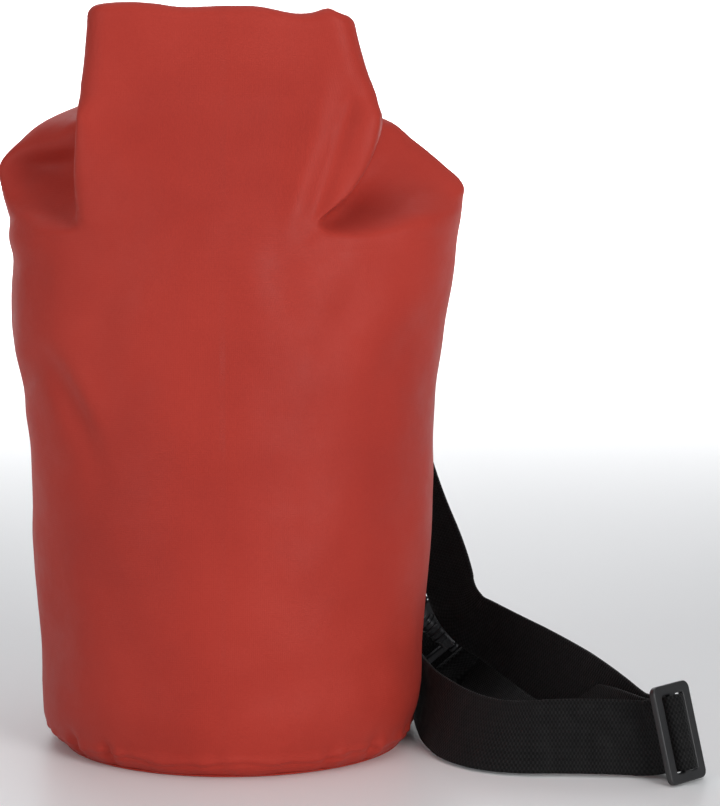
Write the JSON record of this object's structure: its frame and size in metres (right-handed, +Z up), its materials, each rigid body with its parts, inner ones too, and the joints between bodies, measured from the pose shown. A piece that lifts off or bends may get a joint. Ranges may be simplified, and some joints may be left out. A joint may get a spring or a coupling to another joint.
{
  "type": "roll-top dry bag",
  "caption": "Roll-top dry bag in coated fabric, closed and standing, with a buckled carry loop, ring tabs and a clip-on adjustable shoulder strap.",
  "frame": {"origin": "centre of the base's underside, on the floor", "axes": "+Z up along the tube, -Y towards the plain front, +X towards the side where the strap lies"},
  "size_m": [0.3618, 0.2257, 0.386],
  "materials": {
    "tarpaulin": "satin coated fabric",
    "weld_tape": "satin coated fabric, welded",
    "strap_webbing": "ribbed polyester webbing",
    "tab_webbing": "ribbed polyester webbing",
    "buckle_plastic": "fine satin acetal",
    "stiffener_plastic": "matte",
    "clip_metal": "black, semi-gloss"
  },
  "bodies": {
    "bag": {"body_tube": "tarpaulin", "base_panel": "tarpaulin", "base_flange": "tarpaulin", "side_seam": "weld_tape", "upper_patch": "weld_tape", "lower_patch": "weld_tape", "upper_ring_tab": "tab_webbing", "lower_ring_tab": "tab_webbing", "rolled_closure": "tarpaulin", "mouth_stiffener": "stiffener_plastic", "left_buckle_tab": "tab_webbing", "right_buckle_tab": "tab_webbing", "buckle_female": "buckle_plastic", "shoulder_strap": "strap_webbing", "upper_swivel_eye": "clip_metal", "lower_swivel_eye": "clip_metal"},
    "buckle_male": {"buckle_male": "buckle_plastic"},
    "upper_prong": {"buckle_upper_prong": "buckle_plastic"},
    "lower_prong": {"buckle_lower_prong": "buckle_plastic"},
    "tri_glide": {"tri_glide": "buckle_plastic"},
    "upper_ring": {"upper_d_ring": "clip_metal"},
    "upper_hook": {"upper_hook": "clip_metal", "upper_gate_pin": "clip_metal", "upper_swivel_pin": "clip_metal"},
    "upper_gate": {"upper_gate": "clip_metal"},
    "lower_ring": {"lower_d_ring": "clip_metal"},
    "lower_hook": {"lower_hook": "clip_metal", "lower_gate_pin": "clip_metal", "lower_swivel_pin": "clip_metal"},
    "lower_gate": {"lower_gate": "clip_metal"}
  },
  "joints": [
    {"name": "buckle_release", "type": "slide", "parent": "bag", "child": "buckle_male", "axis": [1, 0, 0], "range_m": [0, 0.03], "deforming": ["right_buckle_tab", "buckle_upper_prong", "buckle_lower_prong"]},
    {"name": "upper_prong_flex", "type": "hinge", "parent": "buckle_male", "child": "upper_prong", "pos_m": [0.0095, 0.05, 0.3742], "axis": [0, -1, 0], "range_deg": [0, 9], "stiffness_Nm_per_rad": 0.2},
    {"name": "lower_prong_flex", "type": "hinge", "parent": "buckle_male", "child": "lower_prong", "pos_m": [0.0095, 0.05, 0.3538], "axis": [0, 1, 0], "range_deg": [0, 9], "stiffness_Nm_per_rad": 0.2},
    {"name": "upper_ring_swing", "type": "hinge", "parent": "bag", "child": "upper_ring", "pos_m": [0.07353, 0.07361, 0.26303], "axis": [0.8793, -0.4763, 0], "range_deg": [-5, 1.5]},
    {"name": "upper_hook_swivel", "type": "hinge", "parent": "bag", "child": "upper_hook", "pos_m": [0.0794, 0.08445, 0.20582], "axis": [-0.0265, -0.0489, 0.9985], "range_deg": [-8, 8], "deforming": ["shoulder_strap"]},
    {"name": "upper_gate_open", "type": "hinge", "parent": "upper_hook", "child": "upper_gate", "pos_m": [0.08275, 0.09063, 0.22183], "axis": [0.8793, -0.4763, 0], "range_deg": [0, 20], "stiffness_Nm_per_rad": 0.05},
    {"name": "lower_ring_swing", "type": "hinge", "parent": "bag", "child": "lower_ring", "pos_m": [0.07552, 0.07323, 0.08281], "axis": [0.7193, -0.6948, 0], "range_deg": [-2, 3]},
    {"name": "lower_hook_swivel", "type": "hinge", "parent": "bag", "child": "lower_hook", "pos_m": [0.11294, 0.07973, 0.03816], "axis": [-0.7145, -0.1593, 0.6813], "range_deg": [-8, 8], "deforming": ["shoulder_strap"]},
    {"name": "lower_gate_open", "type": "hinge", "parent": "lower_hook", "child": "lower_gate", "pos_m": [0.10533, 0.08234, 0.05368], "axis": [0.5382, -0.7474, 0.3897], "range_deg": [0, 20], "stiffness_Nm_per_rad": 0.05},
    {"name": "strap_adjust", "type": "slide", "parent": "bag", "child": "tri_glide", "axis": [-0.493, 0.87, 0], "range_m": [0, 0.03], "deforming": ["shoulder_strap"]}
  ]
}
